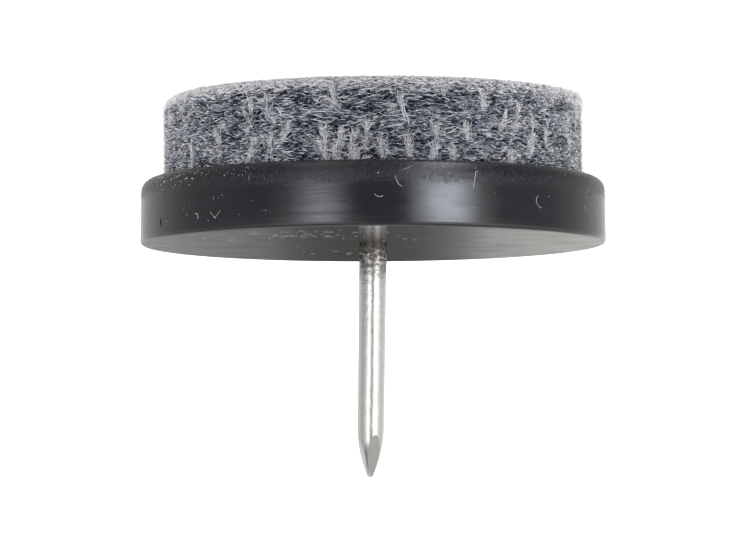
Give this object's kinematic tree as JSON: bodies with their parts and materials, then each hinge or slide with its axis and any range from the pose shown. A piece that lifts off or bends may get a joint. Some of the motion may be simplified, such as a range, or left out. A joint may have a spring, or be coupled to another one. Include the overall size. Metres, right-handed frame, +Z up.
{
  "type": "nail-on furniture glide",
  "caption": "Round nail-on glide for a furniture leg: thick felt sole seated in a moulded plastic cup with a moulded-in wire nail.",
  "frame": {"origin": "centre of the felt sole, on the floor that the glide stands on", "axes": "+Z up along the nail, from the felt sole to the nail's tip; X and Y are any two level directions"},
  "size_m": [0.028, 0.028, 0.0229],
  "materials": {
    "felt": "needled felt of dark blue-grey and white fibres",
    "cup_plastic": "black moulded plastic, glossy with a scuffed shoulder",
    "nail_steel": "bright drawn wire"
  },
  "bodies": {
    "root": {"felt_pad": "felt", "base_cup": "cup_plastic", "nail": "nail_steel"}
  },
  "joints": []
}
